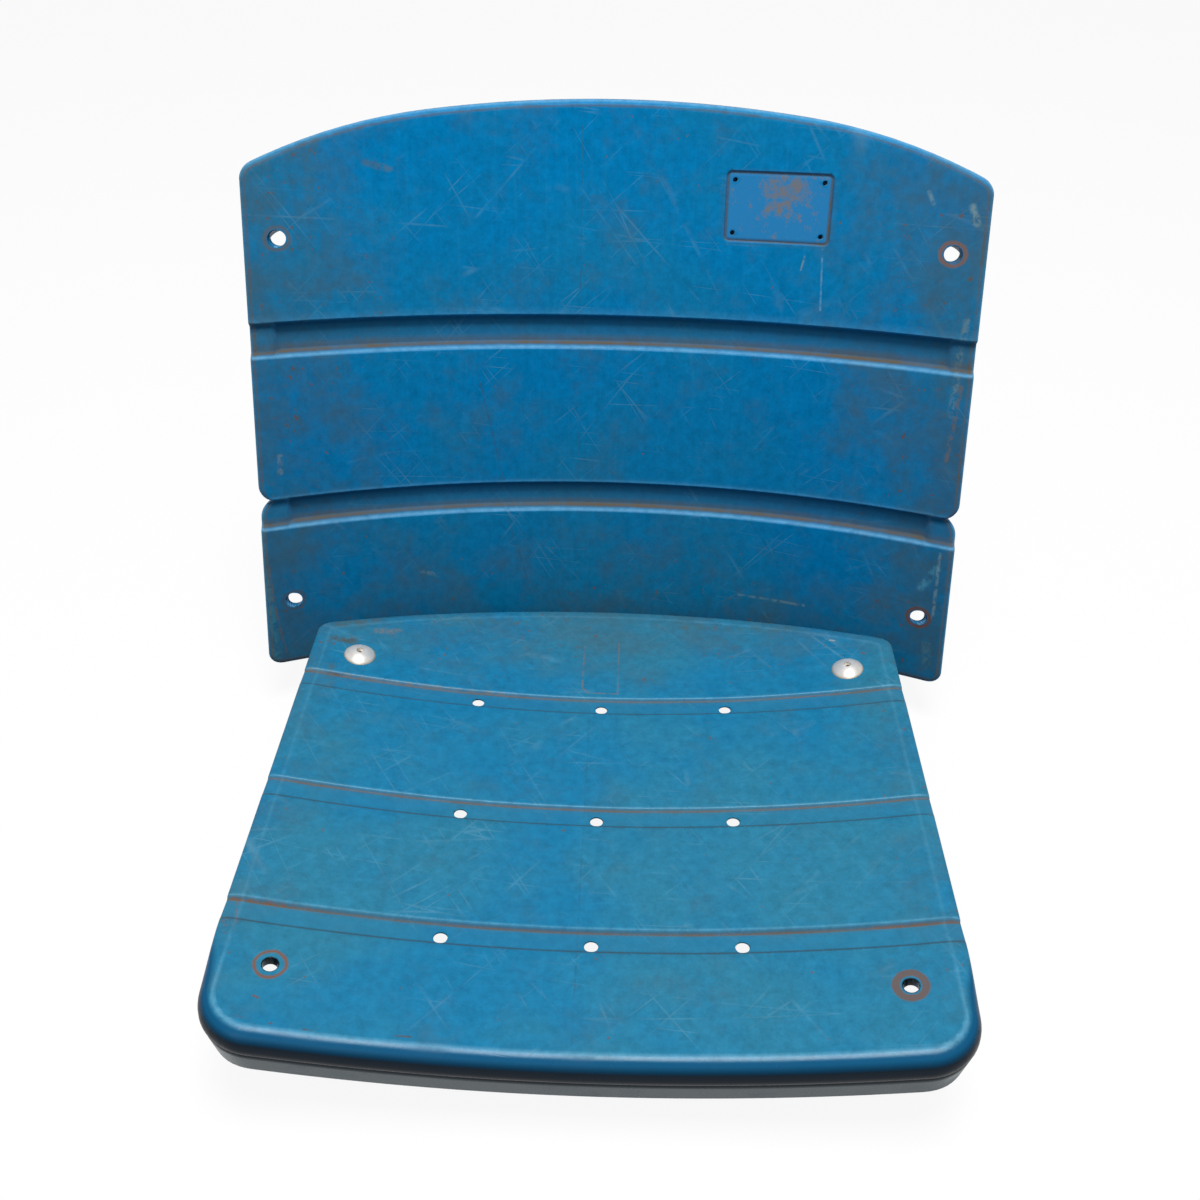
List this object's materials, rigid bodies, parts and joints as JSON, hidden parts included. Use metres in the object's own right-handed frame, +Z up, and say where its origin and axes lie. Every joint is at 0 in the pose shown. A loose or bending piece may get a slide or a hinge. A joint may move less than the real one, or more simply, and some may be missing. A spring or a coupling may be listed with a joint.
{
  "type": "tip-up stadium seat",
  "caption": "Low stadium seat with a dished, drained plastic seat panel that tips up on two steel hinge brackets in front of a curved, reclined plastic back panel.",
  "frame": {"origin": "on the floor, at the middle of the object's box", "axes": "+X to the right seen from the front, +Y to the rear, +Z up"},
  "size_m": [0.499, 0.5192, 0.4063],
  "materials": {
    "moulded_plastic": "blue blow-moulded polyethylene, satin, sun-bleached and grimy",
    "galvanised_steel": "hot-dip galvanised, dull",
    "zinc_plated_steel": "zinc-plated, worn, rust-stained on the two bolt heads",
    "brass": "turned",
    "rubber": "matt",
    "nylon": "moulded nylon, matt"
  },
  "bodies": {
    "fixed_frame": {"back_panel": "moulded_plastic", "hinge_bracket_left": "galvanised_steel", "hinge_bracket_right": "galvanised_steel", "pivot_pin_left": "zinc_plated_steel", "pivot_pin_right": "zinc_plated_steel", "pivot_clip_left": "zinc_plated_steel", "pivot_clip_right": "zinc_plated_steel", "back_screws_left": "zinc_plated_steel", "back_screws_right": "zinc_plated_steel", "back_washers_left": "zinc_plated_steel", "back_washers_right": "zinc_plated_steel", "back_inserts_left": "brass", "back_inserts_right": "brass", "stop_bumper_left": "rubber", "stop_bumper_right": "rubber"},
    "seat": {"seat_panel": "moulded_plastic", "seat_arm_left": "galvanised_steel", "seat_arm_right": "galvanised_steel", "seat_bolt_left": "zinc_plated_steel", "seat_bolt_right": "zinc_plated_steel", "seat_washer_left": "zinc_plated_steel", "seat_washer_right": "zinc_plated_steel", "seat_nut_left": "zinc_plated_steel", "seat_nut_right": "zinc_plated_steel", "pivot_bush_left": "nylon", "pivot_bush_right": "nylon"}
  },
  "joints": [
    {"name": "seat_tip_up", "type": "hinge", "parent": "fixed_frame", "child": "seat", "pos_m": [0, 0.0998, 0.056], "axis": [-1, 0, 0], "range_deg": [0, 60]}
  ]
}
